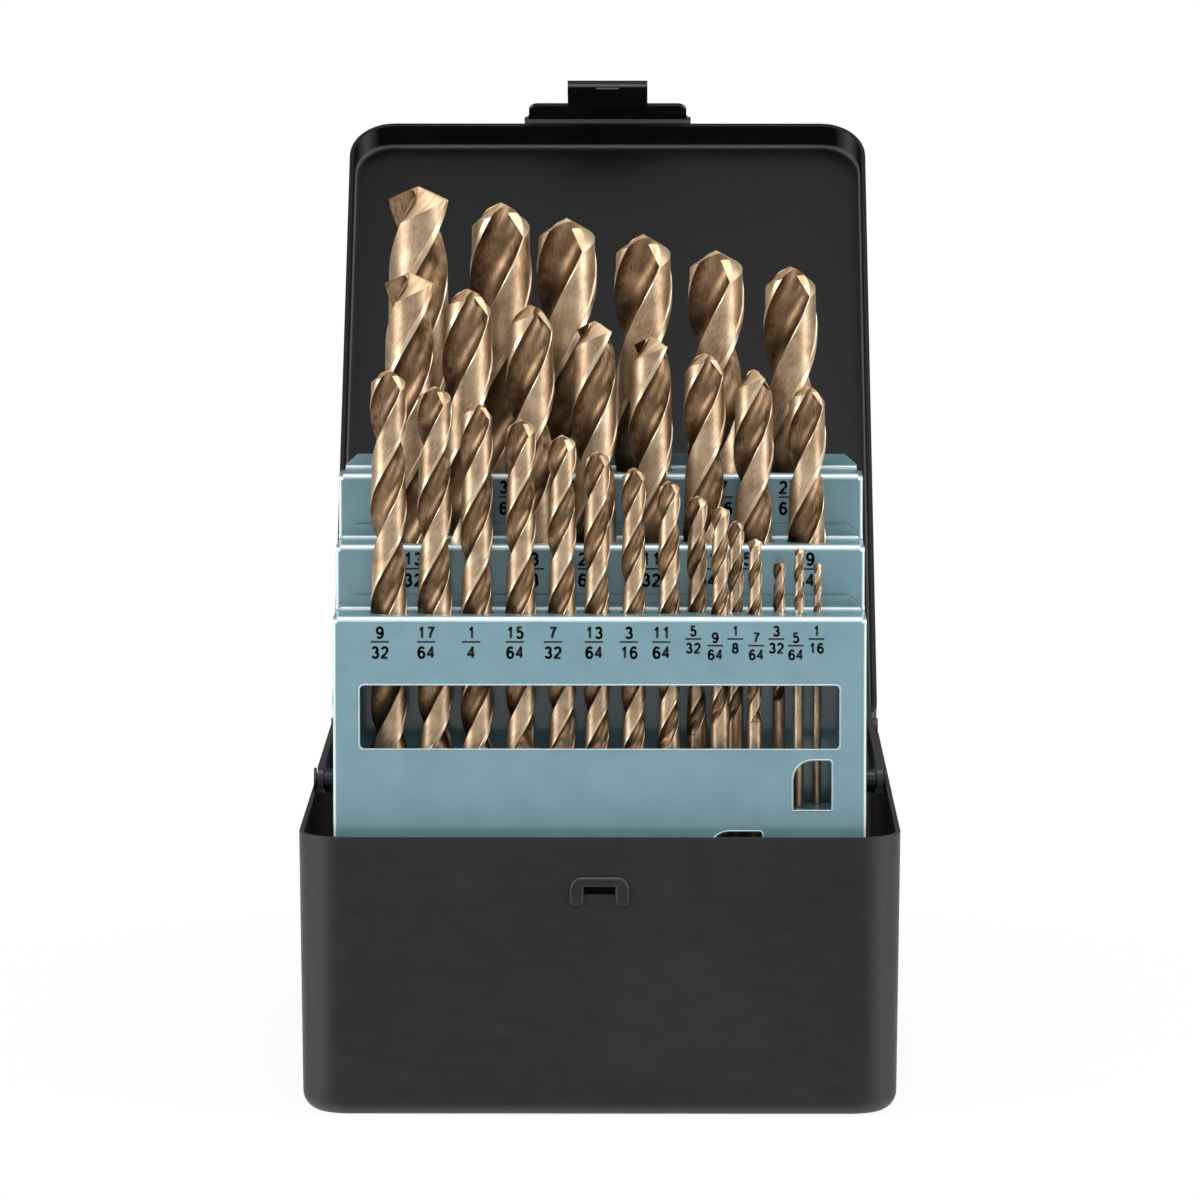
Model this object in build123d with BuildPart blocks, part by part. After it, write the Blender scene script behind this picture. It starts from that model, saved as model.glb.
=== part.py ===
from build123d import *
import math
import os

os.makedirs("parts", exist_ok=True)

# A folding steel drill bit case, lid open and rack raised. Millimetres, +Z up, +Y to the rear.
# The origin is the middle of the underside that the case stands on.

# --- driving dimensions ---------------------------------------------------------------------
case_width = 117.6
base_height = 55.0
base_front = -87.1
base_rear = 87.5
sheet = 0.9
wall_draft = 0.7
front_corner = 10.0
rear_corner = 5.0
base_fold = 4.0

lid_front = -87.5
lid_depth = 7.9
rim_gap = 0.3
lid_fold = 2.2
lid_open_angle = 135.6

hinge_y = 90.2
hinge_z = base_height
knuckle_radius = 2.3
hinge_pin_radius = 1.0
hinge_fit = 0.06
knuckle_count = 7
knuckle_gap = 0.3
leaf_height = 11.0

tray_pitch = 17.0
front_face = -80.0
side_room = 7.7
tray_width = case_width - 2 * side_room
top_depth = 16.1
lip_height = 2.6
bend_radius = 1.3
flange_depth = 9.5
tray_tops = (97.4, 109.8, 122.3)
tray_floors = (37.0, 29.5, 26.5)
hole_clearance = 0.25
axis_setback = 0.3
stagger = 2.3
lip_root_radius = 0.5
lip_corner = 3.6
cheek_round = 0.8

rack_pivot_y = -66.0
rack_pivot_z = 44.0
pivot_radius = 2.0
bracket_gap = 0.5
bracket_sheet = 1.2
bracket_half_width = 8.0
foot_width = 8.0

rack_pin_y = -62.0
rack_pin_z = 63.0
lid_pin_along = 7.4
lid_pin_out = -4.4
link_pin_radius = 1.5
link_gap = 0.8
link_sheet = 1.2
link_half_width = 2.8
slot_clearance = 0.3
slot_travel = 26.4
running_fit = 0.06
head_radius = 2.2
head_gap = 0.25
head_height = 0.45
collar_gap = 0.2
lug_rim = 0.2
lug_shift = 0.7
plate_corner = 2.0
plate_drop = 0.5
plate_rear_gap = 1.0
pivot_head_height = 0.65
pivot_head_share = 1.35
rivet_head_share = 1.5
washer_share = 1.6
washer_gap = 0.1
slot_collar_share = 1.5
slot_head_share = 1.7
lug_collar_share = 1.4
lug_offset = 0.1
cut_margin = 1.0

window_margin = 4.2
window_width = tray_width - 2 * window_margin
window_bottom = 71.4
window_top = 84.1
window_corner = 1.0

tab_width = 36.0
tab_reach = 4.6
tab_corner = 2.0
tab_root = 1.0
tab_top_gap = 0.3
joggle_start = 1.0
joggle_end = -0.3
joggle_radius = 0.6
tongue_width = 18.2
tongue_reach = 11.4
tongue_gap = 0.15
curl_radius = 1.1
bead_radius = 0.5
bead_proud = 0.1
bead_side_gap = 0.4
catch_width = 11.8
catch_height = 5.9
catch_band = 2.1
catch_mouth = 6.0
catch_z = 44.5
catch_proud = 1.0
catch_shoulder = 2.6
catch_end = 1.2
catch_round = 0.8
catch_slit = 1.5

# Drill bits: shares are of the bit's radius, and the lead is in diameters.
point_angle = 135.0
shank_chamfer = 0.12
flute_lead = 5.4
web_share = 0.26
heel_curve_angle = 40.0
heel_curve_share = 0.4
flute_edge_angle = 52.0
flank_relief = 0.25
runout_length = 1.0
facets_per_turn = 11

# The set: size in 64ths of an inch, overall length, flute length, place across the tray, and the
# way the flute faces at the point, in degrees from the front towards the right.
front_bits = (
    (18, 108.0, 74.6, -41.3, -30),
    (17, 104.8, 73.0, -32.3, -20),
    (16, 101.6, 69.9, -24.1, 20),
    (15, 98.4, 66.7, -15.5, -20),
    (14, 95.3, 63.5, -7.4, -15),
    (13, 92.1, 61.9, -0.6, -10),
    (12, 88.9, 58.7, 6.6, 0),
    (11, 82.6, 54.0, 13.5, -20),
    (10, 79.4, 47.0, 19.0, 10),
    (9, 73.0, 42.5, 23.5, -5),
    (8, 69.9, 39.5, 26.6, 30),
    (7, 66.7, 36.0, 30.3, -30),
    (6, 57.2, 27.5, 35.1, 15),
    (5, 50.8, 25.4, 38.9, -40),
    (4, 47.6, 22.2, 42.6, 5),
)
middle_bits = (
    (26, 133.4, 98.4, -37.6, -60),
    (25, 130.2, 95.3, -26.2, 10),
    (24, 127.0, 92.1, -13.8, 15),
    (23, 123.8, 88.9, -1.2, -50),
    (22, 120.7, 87.3, 9.9, -60),
    (21, 117.5, 84.1, 20.5, -10),
    (20, 114.3, 81.0, 30.2, -50),
    (19, 111.1, 77.8, 40.7, -10),
)
rear_bits = (
    (32, 152.4, 114.3, -36.3, -59),
    (31, 149.2, 111.1, -19.9, -12),
    (30, 146.1, 109.5, -6.8, -18),
    (29, 142.9, 106.4, 8.4, -10),
    (28, 139.7, 103.2, 22.9, -16),
    (27, 136.5, 100.0, 37.7, -20),
)

# The shorter small bits stand on raised seats, so that their ends clear the front tray's top.
low_seat_z = 40.7
tab_seat_z = 45.4
high_seat_z = 50.1
upper_tab_z = 59.4
seat_heights = {11: low_seat_z, 10: low_seat_z, 9: tab_seat_z, 8: tab_seat_z, 7: tab_seat_z}
seat_heights |= {6: high_seat_z, 5: upper_tab_z, 4: upper_tab_z}
stools = (("seat_low", 10.4, 20.6, low_seat_z), ("seat_high", 32.3, 37.3, high_seat_z))
stool_front_gap = 0.4
stool_depth = 12.5
back_hole_sizes = (10, 8, 6, 4)
forward_hole_sizes = (9, 7, 5)

side_plate_inner = tray_width / 2
side_plate_outer = side_plate_inner + sheet
bracket_inner = side_plate_outer + bracket_gap
link_inner = bracket_inner + bracket_sheet + link_gap
tray_faces = [front_face + tray_pitch * row for row in range(3)]
row_offset = top_depth / 2 + axis_setback


def inches(sixty_fourths):
    return sixty_fourths * 25.4 / 64


def size_name(sixty_fourths):
    shared = math.gcd(sixty_fourths, 64)
    return f"bit_{sixty_fourths // shared}_{64 // shared}"


# --- base: a drawn pan with drafted walls, and the pressed catch in its front wall -------------
def pan_outline(width, front, rear, inset=0.0):
    """A pan's plan on the open sketch, rounded more at its free corners than beside the hinge."""
    with Locations((0, (front + rear) / 2)):
        Rectangle(width - 2 * inset, rear - front - 2 * inset)
    fillet(vertices().group_by(Axis.Y)[0], front_corner - inset)
    fillet(vertices().group_by(Axis.Y)[-1], rear_corner - inset)


with BuildPart() as base_hollow:
    with BuildSketch(Plane.XY.offset(base_height)):
        pan_outline(case_width, base_front, base_rear, sheet)
    extrude(amount=sheet - base_height, taper=wall_draft)
    fillet(faces().sort_by(Axis.Z)[0].edges(), base_fold - sheet)

with BuildPart() as base_shell:
    with BuildSketch(Plane.XY.offset(base_height)):
        pan_outline(case_width, base_front, base_rear)
    extrude(amount=-base_height, taper=wall_draft)
    fillet(faces().sort_by(Axis.Z)[0].edges(), base_fold)
    add(base_hollow.part, mode=Mode.SUBTRACT)

    # The catch is a horseshoe band pressed out of the wall, over a slit that was lanced first.
    catch_plane = Plane(origin=(0, base_front + sheet / 2, catch_z), x_dir=(1, 0, 0), z_dir=(0, -1, 0))
    mouth_top = catch_height / 2 - catch_band
    with BuildSketch(catch_plane):
        Rectangle(catch_width, catch_height)
        fillet(vertices().group_by(Axis.Y)[-1], catch_shoulder)
        with Locations((0, mouth_top - catch_height / 2)):
            Rectangle(catch_mouth, catch_height, mode=Mode.SUBTRACT)
        fillet(vertices().group_by(Axis.Y)[0], catch_end)
    extrude(amount=sheet / 2 + catch_proud)
    fillet(faces().sort_by(Axis.Y)[0].edges(), catch_round)
    with BuildSketch(catch_plane.offset(-2 * sheet)):
        with Locations((0, mouth_top - catch_slit / 2)):
            Rectangle(catch_mouth, catch_slit)
    extrude(amount=4 * sheet, mode=Mode.SUBTRACT)
base_shell.part.label = "base_shell"
export_step(base_shell.part, "parts/base_shell.step")


# --- lid frame: "along" runs from the hinge to the free edge, "out" points away from the inside --
open_radians = math.radians(lid_open_angle)
lid_along = Vector(0, -math.cos(open_radians), math.sin(open_radians))
lid_out = Vector(0, math.sin(open_radians), math.cos(open_radians))
lid_reach = hinge_y - lid_front
lid_near = hinge_y - base_rear


def lid_point(along, out):
    return Vector(0, hinge_y, hinge_z) + lid_along * along + lid_out * out


def lid_side_plane(x):
    """A plane across the lid at x, whose own X runs along the lid and whose Y points out of it."""
    return Plane(origin=Vector(x, hinge_y, hinge_z), x_dir=lid_along, z_dir=lid_along.cross(lid_out))


side_sign = 1 if lid_along.cross(lid_out).X > 0 else -1

out_axis = Axis((0, 0, 0), tuple(lid_out))

lid_plane = Plane(origin=lid_point(0, rim_gap), x_dir=(1, 0, 0), z_dir=lid_out)

with BuildPart() as lid_hollow:
    with BuildSketch(lid_plane):
        pan_outline(case_width, -lid_reach, -lid_near, sheet)
    extrude(amount=lid_depth - rim_gap - sheet)
    fillet(faces().sort_by(out_axis)[-1].edges(), lid_fold - sheet)

with BuildPart() as lid_shell:
    with BuildSketch(lid_plane):
        pan_outline(case_width, -lid_reach, -lid_near)
    extrude(amount=lid_depth - rim_gap)
    fillet(faces().sort_by(out_axis)[-1].edges(), lid_fold)
    add(lid_hollow.part, mode=Mode.SUBTRACT)
lid_shell.part.label = "lid_shell"
export_step(lid_shell.part, "parts/lid_shell.step")


# --- latch tab: a joggled plate on the lid's front wall that overlaps the base's front wall -------
joggle = lid_reach + sheet
with BuildPart() as latch_tab:
    with BuildSketch(lid_side_plane(-side_sign * (tab_width / 2 + tab_root))):
        with BuildLine():
            tab_line = FilletPolyline(
                (lid_reach, lid_depth - lid_fold - tab_top_gap),
                (lid_reach, joggle_start),
                (joggle, joggle_end),
                (joggle, -tab_reach),
                radius=joggle_radius,
            )
            offset(tab_line, amount=sheet, side=Side.LEFT)
        make_face()
    extrude(amount=tab_width + 2 * tab_root)
    # below the lid's rim the tab is narrower, with a rounded root on each side
    for side in (-1, 1):
        with BuildSketch(Plane(origin=lid_point(lid_reach - sheet, 0), x_dir=(1, 0, 0), z_dir=lid_along)):
            with Locations((side * (tab_width / 2 + tab_root), -tab_reach)):
                Rectangle(2 * tab_root, 2 * tab_reach)
            fillet(vertices().group_by(Axis.Y)[-1].sort_by(Axis.X)[0 if side > 0 else -1], tab_root)
        extrude(amount=4 * sheet, mode=Mode.SUBTRACT)
    free_corners = edges().filter_by(Axis((0, 0, 0), tuple(lid_along))).group_by(out_axis)[0]
    fillet(free_corners, tab_corner)
latch_tab.part.label = "latch_tab"
export_step(latch_tab.part, "parts/latch_tab.step")


# --- latch tongue: a springy strip at the tab's edge, with a bead that hooks under the catch -------
tongue_pivot_out = -tab_reach - sheet / 2 - tongue_gap
tongue_pivot_along = joggle + sheet / 2
with BuildPart() as latch_tongue:
    with BuildSketch(lid_side_plane(-side_sign * tongue_width / 2)):
        with Locations((tongue_pivot_along, tongue_pivot_out)):
            Circle(sheet / 2)
        strip_end = -tongue_reach + curl_radius
        with Locations((tongue_pivot_along, (tongue_pivot_out + strip_end) / 2)):
            Rectangle(sheet, tongue_pivot_out - strip_end)
        with Locations((joggle + curl_radius, strip_end)):
            Circle(curl_radius)
    extrude(amount=tongue_width)
    bead_half_width = catch_mouth / 2 - bead_side_gap
    with BuildSketch(lid_side_plane(-side_sign * bead_half_width)):
        with Locations((joggle, strip_end - bead_proud)):
            Circle(bead_radius)
    extrude(amount=2 * bead_half_width)
latch_tongue.part.label = "latch_tongue"
export_step(latch_tongue.part, "parts/latch_tongue.step")


# --- hinge: alternating knuckles across the whole width, on one pin --------------------------------
knuckle_pitch = case_width / knuckle_count
gap_reach = knuckle_radius + knuckle_gap


def knuckle_slots(kept):
    """Room for the other leaf's knuckles: every knuckle place whose number isn't of the kept parity."""
    for place in range(knuckle_count):
        if place % 2 == kept:
            continue
        left_end = -case_width / 2 + knuckle_pitch * place - knuckle_gap / 2
        with BuildSketch(Plane.YZ.offset(left_end)) as slot:
            with Locations((hinge_y, hinge_z)):
                Circle(gap_reach)
        extrude(slot.sketch, amount=knuckle_pitch + knuckle_gap, mode=Mode.SUBTRACT)


with BuildPart() as hinge_base_leaf:
    with BuildSketch(Plane.YZ.offset(-case_width / 2)):
        with Locations((base_rear + sheet / 2, hinge_z - leaf_height / 2)):
            Rectangle(sheet, leaf_height)
        with Locations((hinge_y, hinge_z)):
            Circle(knuckle_radius)
            Circle(hinge_pin_radius + hinge_fit, mode=Mode.SUBTRACT)
    extrude(amount=case_width)
    knuckle_slots(0)
hinge_base_leaf.part.label = "hinge_base_leaf"
export_step(hinge_base_leaf.part, "parts/hinge_base_leaf.step")

with BuildPart() as hinge_lid_leaf:
    with BuildSketch(lid_side_plane(-side_sign * case_width / 2)):
        with Locations((lid_near - sheet / 2, (lid_depth - lid_fold) / 2)):
            Rectangle(sheet, lid_depth - lid_fold)
        Circle(knuckle_radius)
        Circle(hinge_pin_radius + hinge_fit, mode=Mode.SUBTRACT)
    extrude(amount=case_width)
    knuckle_slots(1)
hinge_lid_leaf.part.label = "hinge_lid_leaf"
export_step(hinge_lid_leaf.part, "parts/hinge_lid_leaf.step")

with BuildPart() as hinge_pin:
    with BuildSketch(Plane.YZ.offset(-case_width / 2)):
        with Locations((hinge_y, hinge_z)):
            Circle(hinge_pin_radius)
    extrude(amount=case_width)
hinge_pin.part.label = "hinge_pin"
export_step(hinge_pin.part, "parts/hinge_pin.step")


# --- trays: folded channels with a pierced top, an upturned rear lip and a floor -------------------
def bit_place(row, sixty_fourths, across):
    """The X and Y of a bit's axis: the smallest sizes stand in two staggered lines."""
    along = tray_faces[row] + row_offset
    if sixty_fourths in back_hole_sizes:
        along += stagger
    if sixty_fourths in forward_hole_sizes:
        along -= stagger
    return across, along


def fold_tray(row, bits):
    """The folded sheet of one tray, in the builder that is open: profile, side flanges, holes."""
    face = tray_faces[row]
    top = tray_tops[row]
    underside = tray_floors[row] - sheet
    rear = face + top_depth
    with BuildSketch(Plane.YZ.offset(-tray_width / 2)) as fold:
        with BuildLine():
            skin = FilletPolyline(
                (rear - sheet, top + lip_height),
                (rear - sheet, top),
                (face, top),
                (face, underside),
                (rear - sheet, underside),
                radius=(lip_root_radius, bend_radius, bend_radius),
            )
            offset(skin, amount=sheet, side=Side.LEFT)
        make_face()
    extrude(fold.sketch, amount=tray_width)
    for side in (-1, 1):
        with BuildSketch(Plane.XY.offset(underside + sheet)) as flange:
            with Locations((side * (tray_width - sheet) / 2, face + flange_depth / 2 + bend_radius / 2)):
                Rectangle(sheet, flange_depth - bend_radius)
        extrude(flange.sketch, amount=top - underside - 2 * sheet)
        # the lip's ends are cut back at 45 degrees
        with BuildSketch(Plane.XZ.offset(-rear - cut_margin)) as corner:
            with BuildLine():
                Polyline(
                    (side * tray_width / 2, top + sheet / 2),
                    (side * tray_width / 2, top + lip_height + cut_margin),
                    (side * (tray_width / 2 - lip_corner), top + lip_height + cut_margin),
                    close=True,
                )
            make_face()
        extrude(corner.sketch, amount=sheet + 2 * cut_margin, mode=Mode.SUBTRACT)
    # the face is as wide as the rack over its side plates, and rounded off down both sides
    cheek_bottom = tray_tops[row - 1] if row else tray_floors[0]
    for side in (-1, 1):
        with BuildSketch(Plane.XZ.offset(-face)) as cheek:
            with Locations((side * (tray_width + sheet) / 2, (cheek_bottom + top - bend_radius) / 2)):
                Rectangle(sheet, top - bend_radius - cheek_bottom)
        extrude(cheek.sketch, amount=-sheet)
    uprights = edges().filter_by(Axis.Z)
    cheek_edges = [uprights.group_by(Axis.X)[end].sort_by(Axis.Y)[0] for end in (0, -1)]
    fillet(cheek_edges, cheek_round)
    with BuildSketch(Plane.XY.offset(top + sheet)) as holes:
        for sixty_fourths, _, _, across, _ in bits:
            with Locations(bit_place(row, sixty_fourths, across)):
                Circle(inches(sixty_fourths) / 2 + hole_clearance)
    extrude(holes.sketch, amount=-3 * sheet, mode=Mode.SUBTRACT)


# In the front tray's face: the long window, and two flaps lanced inwards as seats for short bits.
lanced_seats = ((37.6, 45.4, upper_tab_z), (21.3, 31.9, tab_seat_z))
tab_cut_height = 10.0
tab_left_radius = 4.0
tab_right_radius = 0.8
tab_seat_margin = 1.6
tab_seat_depth = row_offset + stagger + tab_seat_margin


def lanced_seat(left, right, seat_z):
    """A cut-out in the front face, and its flap bent level behind it."""
    middle = (left + right) / 2
    with BuildSketch(Plane.XZ.offset(-front_face - 2 * sheet)) as cut_out:
        with Locations((middle, seat_z + tab_cut_height / 2)):
            Rectangle(right - left, tab_cut_height)
        upper = vertices().group_by(Axis.Y)[-1].sort_by(Axis.X)
        fillet(upper[0], tab_left_radius)
        fillet(vertices().group_by(Axis.Y)[-1].sort_by(Axis.X)[-1], tab_right_radius)
    extrude(cut_out.sketch, amount=4 * sheet, mode=Mode.SUBTRACT)
    with BuildSketch(Plane.XY.offset(seat_z)) as flap:
        with Locations((middle, front_face + tab_seat_depth / 2 + sheet / 4)):
            Rectangle(right - left, tab_seat_depth - sheet / 2)
    extrude(flap.sketch, amount=-sheet)


with BuildPart() as front_tray:
    fold_tray(0, front_bits)
    with BuildSketch(Plane.XZ.offset(-front_face - 2 * sheet)):
        with Locations((0, (window_bottom + window_top) / 2)):
            RectangleRounded(window_width, window_top - window_bottom, window_corner)
    extrude(amount=4 * sheet, mode=Mode.SUBTRACT)
    for left, right, seat_z in lanced_seats:
        lanced_seat(left, right, seat_z)
front_tray.part.label = "front_tray"
export_step(front_tray.part, "parts/front_tray.step")

with BuildPart() as middle_tray:
    fold_tray(1, middle_bits)
middle_tray.part.label = "middle_tray"
export_step(middle_tray.part, "parts/middle_tray.step")

with BuildPart() as rear_tray:
    fold_tray(2, rear_bits)
rear_tray.part.label = "rear_tray"
export_step(rear_tray.part, "parts/rear_tray.step")


# --- seats: two folded stools on the front tray's floor, for bits too short for the floor itself ----
def folded_stool(left, right, seat_z):
    """An inverted channel that stands on the front tray's floor."""
    leg = tray_floors[0]
    with BuildSketch(Plane.XZ.offset(-front_face - sheet - stool_front_gap)) as stool:
        with BuildLine():
            stool_line = FilletPolyline(
                (left, leg),
                (left, seat_z),
                (right, seat_z),
                (right, leg),
                radius=bend_radius,
            )
            offset(stool_line, amount=sheet, side=Side.RIGHT)
        make_face()
    extrude(stool.sketch, amount=-stool_depth)


for name, left, right, seat_z in stools:
    with BuildPart() as stool_part:
        folded_stool(left, right, seat_z)
    stool_part.part.label = name
    export_step(stool_part.part, f"parts/{name}.step")


# --- rack sides, brackets, pivots, lift pins and links, one of each per side ------------------------
lid_pin = lid_point(lid_pin_along, lid_pin_out)
rack_pin = Vector(0, rack_pin_y, rack_pin_z)
link_line = rack_pin - lid_pin
link_reach = link_line.length
link_outer = link_inner + link_sheet
head_inner = link_outer + head_gap
head_outer = head_inner + head_height
lug_inner = bracket_inner + lug_offset
lug_half_width = link_half_width + lug_rim


def round_pin(side, centre, start, end, radius):
    """A round length of a pin between two distances from the middle, in the builder that is open."""
    plane = Plane(origin=(side * start, centre.Y, centre.Z), x_dir=(0, 1, 0), z_dir=(side, 0, 0))
    with BuildSketch(plane) as section:
        Circle(radius)
    extrude(section.sketch, amount=end - start)


pivot = Vector(0, rack_pivot_y, rack_pivot_z)

for side, name in ((-1, "left"), (1, "right")):
    # rack side: a stepped plate that the three trays are welded into
    step_y = [face + sheet for face in tray_faces]
    rear_edge = tray_faces[2] + top_depth - plate_rear_gap
    with BuildPart() as rack_side:
        with BuildSketch(Plane.YZ.offset(side * side_plate_inner)):
            with BuildLine():
                Polyline(
                    (step_y[0], tray_floors[0]),
                    (step_y[0], tray_tops[0] - plate_drop),
                    (step_y[1], tray_tops[0] - plate_drop),
                    (step_y[1], tray_tops[1] - plate_drop),
                    (step_y[2], tray_tops[1] - plate_drop),
                    (step_y[2], tray_tops[2] - plate_drop),
                    (rear_edge, tray_tops[2] - plate_drop),
                    (rear_edge, tray_floors[2]),
                    (step_y[2], tray_floors[2]),
                    (step_y[1], tray_floors[1]),
                    close=True,
                )
            make_face()
            fillet(vertices(), plate_corner)
        extrude(amount=side * sheet)
        for centre, radius in ((pivot, pivot_radius + running_fit), (rack_pin, link_pin_radius)):
            with BuildSketch(Plane.YZ.offset(side * (side_plate_inner - cut_margin))):
                with Locations((centre.Y, centre.Z)):
                    Circle(radius)
            extrude(amount=side * (sheet + 2 * cut_margin), mode=Mode.SUBTRACT)
    rack_side.part.label = f"rack_side_{name}"
    export_step(rack_side.part, f"parts/rack_side_{name}.step")

    # pivot bracket: an angle that stands on the base's floor and carries the rack's pivot
    with BuildPart() as pivot_bracket:
        with BuildSketch(Plane.YZ.offset(side * bracket_inner)):
            with Locations((rack_pivot_y, rack_pivot_z)):
                Circle(bracket_half_width)
            with Locations((rack_pivot_y, (rack_pivot_z + sheet) / 2)):
                Rectangle(2 * bracket_half_width, rack_pivot_z - sheet)
            with Locations((rack_pivot_y, rack_pivot_z)):
                Circle(pivot_radius, mode=Mode.SUBTRACT)
        extrude(amount=side * bracket_sheet)
        with BuildSketch(Plane.XY.offset(sheet)):
            with Locations((side * (bracket_inner + bracket_sheet - foot_width / 2), rack_pivot_y)):
                Rectangle(foot_width, 2 * bracket_half_width)
        extrude(amount=bracket_sheet)
    pivot_bracket.part.label = f"pivot_bracket_{name}"
    export_step(pivot_bracket.part, f"parts/pivot_bracket_{name}.step")

    # rack pivot: a shouldered rivet held in the bracket, on which the rack side turns
    with BuildPart() as rack_pivot:
        bracket_outer = bracket_inner + bracket_sheet
        pivot_end = side_plate_inner - collar_gap
        round_pin(side, pivot, pivot_end, bracket_outer, pivot_radius)
        round_pin(side, pivot, pivot_end - pivot_head_height, pivot_end, pivot_head_share * pivot_radius)
        round_pin(side, pivot, bracket_outer, bracket_outer + head_height, rivet_head_share * pivot_radius)
        round_pin(side, pivot, side_plate_outer + washer_gap, bracket_inner, washer_share * pivot_radius)
    rack_pivot.part.label = f"rack_pivot_{name}"
    export_step(rack_pivot.part, f"parts/rack_pivot_{name}.step")

    # lift pin of the rack: it runs in the link's slot
    with BuildPart() as rack_lift_pin:
        round_pin(side, rack_pin, side_plate_inner, head_inner, link_pin_radius)
        collar_end = link_inner - collar_gap
        round_pin(side, rack_pin, side_plate_outer, collar_end, slot_collar_share * link_pin_radius)
        round_pin(side, rack_pin, head_inner, head_outer, slot_head_share * link_pin_radius)
    rack_lift_pin.part.label = f"rack_lift_pin_{name}"
    export_step(rack_lift_pin.part, f"parts/rack_lift_pin_{name}.step")

    # lid lug: an angle welded under the lid's panel beside the hinge
    with BuildPart() as lid_lug:
        lug_outer = lug_inner + bracket_sheet
        with BuildSketch(lid_side_plane(side * (lug_inner if side == side_sign else lug_outer))):
            with Locations((lid_pin_along, lid_pin_out)):
                Circle(lug_half_width)
            with Locations((lid_pin_along + lug_shift, (lid_pin_out + lid_depth - sheet) / 2)):
                Rectangle(2 * (lug_half_width - lug_shift), lid_depth - sheet - lid_pin_out)
            with Locations((lid_pin_along, lid_pin_out)):
                Circle(link_pin_radius, mode=Mode.SUBTRACT)
        extrude(amount=bracket_sheet)
        foot_centre = lid_point(lid_pin_along + lug_shift, lid_depth - sheet)
        foot_plane = Plane(
            origin=foot_centre + Vector(side * (lug_outer - foot_width / 2), 0, 0),
            x_dir=(1, 0, 0),
            z_dir=lid_out,
        )
        with BuildSketch(foot_plane):
            Rectangle(foot_width, 2 * (lug_half_width - lug_shift))
        extrude(amount=-bracket_sheet)
    lid_lug.part.label = f"lid_lug_{name}"
    export_step(lid_lug.part, f"parts/lid_lug_{name}.step")

    # lift pin of the lid: the link swings on it
    with BuildPart() as lid_lift_pin:
        round_pin(side, lid_pin, lug_inner, head_inner, link_pin_radius)
        round_pin(side, lid_pin, lug_outer, collar_end, lug_collar_share * link_pin_radius)
        round_pin(side, lid_pin, head_inner, head_outer, head_radius)
    lid_lift_pin.part.label = f"lid_lift_pin_{name}"
    export_step(lid_lift_pin.part, f"parts/lid_lift_pin_{name}.step")

    # lift link: a flat bar, round hole on the lid's pin, long slot over the rack's pin
    with BuildPart() as lift_link:
        link_plane = Plane(
            origin=(side * link_inner, lid_pin.Y, lid_pin.Z),
            x_dir=link_line,
            z_dir=(side, 0, 0),
        )
        slot_end = link_pin_radius + slot_clearance
        with BuildSketch(link_plane):
            with Locations((link_reach / 2, 0)):
                SlotCenterToCenter(link_reach, 2 * link_half_width)
            with Locations((link_reach - slot_travel / 2, 0)):
                SlotCenterToCenter(slot_travel, 2 * slot_end, mode=Mode.SUBTRACT)
            Circle(link_pin_radius + running_fit, mode=Mode.SUBTRACT)
        extrude(amount=link_sheet)
    lift_link.part.label = f"lift_link_{name}"
    export_step(lift_link.part, f"parts/lift_link_{name}.step")


# --- drill bits: a plain round shank, two twisted flutes in flat facets, and a 135 degree point ------
def bit_rings(radius, length, flute_length, turn):
    """The corners of the fluted part's sections, from the shank's end up to the point."""
    half = (
        (0.0, web_share),
        (heel_curve_angle, heel_curve_share),
        (flute_edge_angle, 1.0),
        (90.0, 1.0),
        (180.0 - flute_edge_angle, 1.0),
    )
    corners = [(angle + other, share) for other in (0, 180) for angle, share in half]
    lead = flute_lead * 2 * radius
    steps = round(facets_per_turn * flute_length / lead)
    point_slope = 1 / math.tan(math.radians(point_angle / 2))
    rings = []
    for step in range(steps + 1):
        height = flute_length * step / steps
        twist = turn - 90 + 360 * (height - flute_length) / lead
        depth = min(1, height / (runout_length * 2 * radius))
        ring = []
        for angle, share in corners:
            reach = radius * (1 - depth * (1 - share))
            drop = 0
            if step == steps:
                heel = (180 - flute_edge_angle - angle % 180) / (180 - 2 * flute_edge_angle)
                drop = reach * point_slope + radius * flank_relief * heel * (share == 1)
            bearing = math.radians(angle + twist)
            across, along = reach * math.cos(bearing), reach * math.sin(bearing)
            ring.append(Vector(across, along, length - flute_length + height - drop))
        rings.append(ring)
    return rings


def fluted_solid(rings, tip):
    """The solid between stacked rings of corners, in flat triangles, closed at the tip."""
    triangles = []
    for low, high in zip(rings, rings[1:]):
        for near in range(len(low)):
            far = (near + 1) % len(low)
            triangles.append((low[near], low[far], high[far]))
            triangles.append((low[near], high[far], high[near]))
    last = rings[-1]
    for near in range(len(last)):
        triangles.append((last[near], last[(near + 1) % len(last)], tip))
    faces = [Face(Wire.make_polygon(corners)) for corners in triangles + [rings[0]]]
    return Solid(Shell(faces))


for row, bits in enumerate((front_bits, middle_bits, rear_bits)):
    for sixty_fourths, length, flute_length, across, turn in bits:
        x, y = bit_place(row, sixty_fourths, across)
        seat_z = seat_heights.get(sixty_fourths, tray_floors[row])
        radius = inches(sixty_fourths) / 2
        rings = bit_rings(radius, length, flute_length, turn)
        with BuildPart() as bit:
            with Locations((x, y, seat_z)):
                Cylinder(radius, length - flute_length, align=(Align.CENTER, Align.CENTER, Align.MIN))
                chamfer(edges().sort_by(Axis.Z)[0], shank_chamfer * radius)
                add(fluted_solid(rings, Vector(0, 0, length)))
        bit.part.label = size_name(sixty_fourths)
        export_step(bit.part, f"parts/{bit.part.label}.step")
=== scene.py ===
import math

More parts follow.
